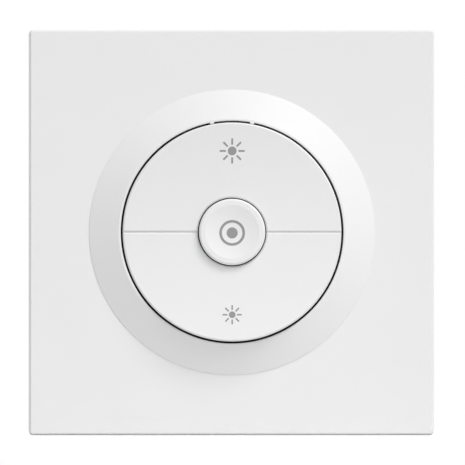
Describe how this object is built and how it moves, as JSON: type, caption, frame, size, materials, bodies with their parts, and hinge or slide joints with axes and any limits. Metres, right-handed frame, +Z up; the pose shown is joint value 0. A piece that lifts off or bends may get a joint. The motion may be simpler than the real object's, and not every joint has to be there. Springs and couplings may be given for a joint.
{
  "type": "smart dimmer module",
  "caption": "Flush wall dimmer with a square cover plate, a sloping round collar, two rocker keys and a dished push button, on a steel frame with a terminal cup behind.",
  "frame": {"origin": "centre of the 60 mm box screw pattern, on the wall plane at the back of the steel frame", "axes": "+Z up, +X to the right seen from the room, the front faces -Y and the cup goes into the wall along +Y"},
  "size_m": [0.082, 0.0407, 0.082],
  "materials": {
    "cover_plastic": "fine matt moulded white",
    "carrier_plastic": "plain moulded black",
    "cup_plastic": "dark grey moulded, flame retardant",
    "clear_plastic": "polished clear",
    "frame_steel": "zinc plated sheet",
    "screw_steel": "bright zinc plated",
    "black_steel": "blackened screws",
    "board_laminate": "green solder mask",
    "switch_metal": "stamped cover",
    "plunger_plastic": "black moulded",
    "lamp_resin": "cast resin",
    "shield_tin": "tinned sheet",
    "chip_resin": "black moulding compound",
    "link_plastic": "black moulded",
    "spacer_plastic": "natural moulded",
    "ferrite": "fired ferrite",
    "copper_winding": "enamelled wire",
    "capacitor_sleeve": "shrunk sleeve",
    "film_case": "cast box",
    "varistor_coat": "dipped coating",
    "fuse_glass": "clear tube",
    "spreader_aluminium": "plain sheet",
    "terminal_plastic": "grey moulded",
    "terminal_brass": "nickel free brass"
  },
  "bodies": {
    "root": {"board_spacer": "spacer_plastic", "bulk_capacitor": "capacitor_sleeve", "carrier_screws": "black_steel", "centre_switch": "switch_metal", "choke_core": "ferrite", "choke_winding": "copper_winding", "control_board": "board_laminate", "cover_plate": "cover_plastic", "film_capacitor": "film_case", "frame_screws": "screw_steel", "fuse": "fuse_glass", "heat_spreader": "spreader_aluminium", "housing_shell": "cup_plastic", "key_carrier": "carrier_plastic", "lower_switch": "switch_metal", "microcontroller": "chip_resin", "pin_header": "link_plastic", "pin_socket": "link_plastic", "power_board": "board_laminate", "power_transistors": "chip_resin", "radio_module": "board_laminate", "radio_shield": "shield_tin", "status_led": "lamp_resin", "status_light_guide": "clear_plastic", "support_frame": "frame_steel", "terminal_block": "terminal_plastic", "terminal_cages": "terminal_brass", "terminal_screws": "screw_steel", "transformer_core": "ferrite", "transformer_winding": "copper_winding", "trim_collar": "cover_plastic", "upper_switch": "switch_metal", "varistor": "varistor_coat"},
    "upper_key": {"upper_key": "cover_plastic"},
    "lower_key": {"lower_key": "cover_plastic"},
    "centre_button": {"centre_button": "cover_plastic"},
    "upper_plunger": {"upper_plunger": "plunger_plastic"},
    "lower_plunger": {"lower_plunger": "plunger_plastic"},
    "centre_plunger": {"centre_plunger": "plunger_plastic"}
  },
  "joints": [
    {"name": "upper_key_tilt", "type": "hinge", "parent": "root", "child": "upper_key", "pos_m": [0, -0.0086, 0.0022], "axis": [-1, 0, 0], "range_deg": [0, 1.4], "stiffness_Nm_per_rad": 0.5, "springref_deg": -0.92},
    {"name": "lower_key_tilt", "type": "hinge", "parent": "root", "child": "lower_key", "pos_m": [0, -0.0086, -0.0022], "axis": [1, 0, 0], "range_deg": [0, 1.4], "stiffness_Nm_per_rad": 0.5, "springref_deg": -0.92},
    {"name": "centre_button_press", "type": "slide", "parent": "root", "child": "centre_button", "axis": [0, 1, 0], "range_m": [0, 0.00035], "stiffness_N_per_m": 2000, "springref_m": -0.00025},
    {"name": "upper_plunger_press", "type": "slide", "parent": "root", "child": "upper_plunger", "axis": [0, 1, 0], "range_m": [0, 0.0003]},
    {"name": "lower_plunger_press", "type": "slide", "parent": "root", "child": "lower_plunger", "axis": [0, 1, 0], "range_m": [0, 0.0003]},
    {"name": "centre_plunger_press", "type": "slide", "parent": "root", "child": "centre_plunger", "axis": [0, 1, 0], "range_m": [0, 0.00036]}
  ],
  "couplings": [
    {"joint": "upper_plunger_press", "follows": "upper_key_tilt", "m_per_rad": 0.0118},
    {"joint": "lower_plunger_press", "follows": "lower_key_tilt", "m_per_rad": 0.0118},
    {"joint": "centre_plunger_press", "follows": "centre_button_press", "ratio": 1}
  ]
}
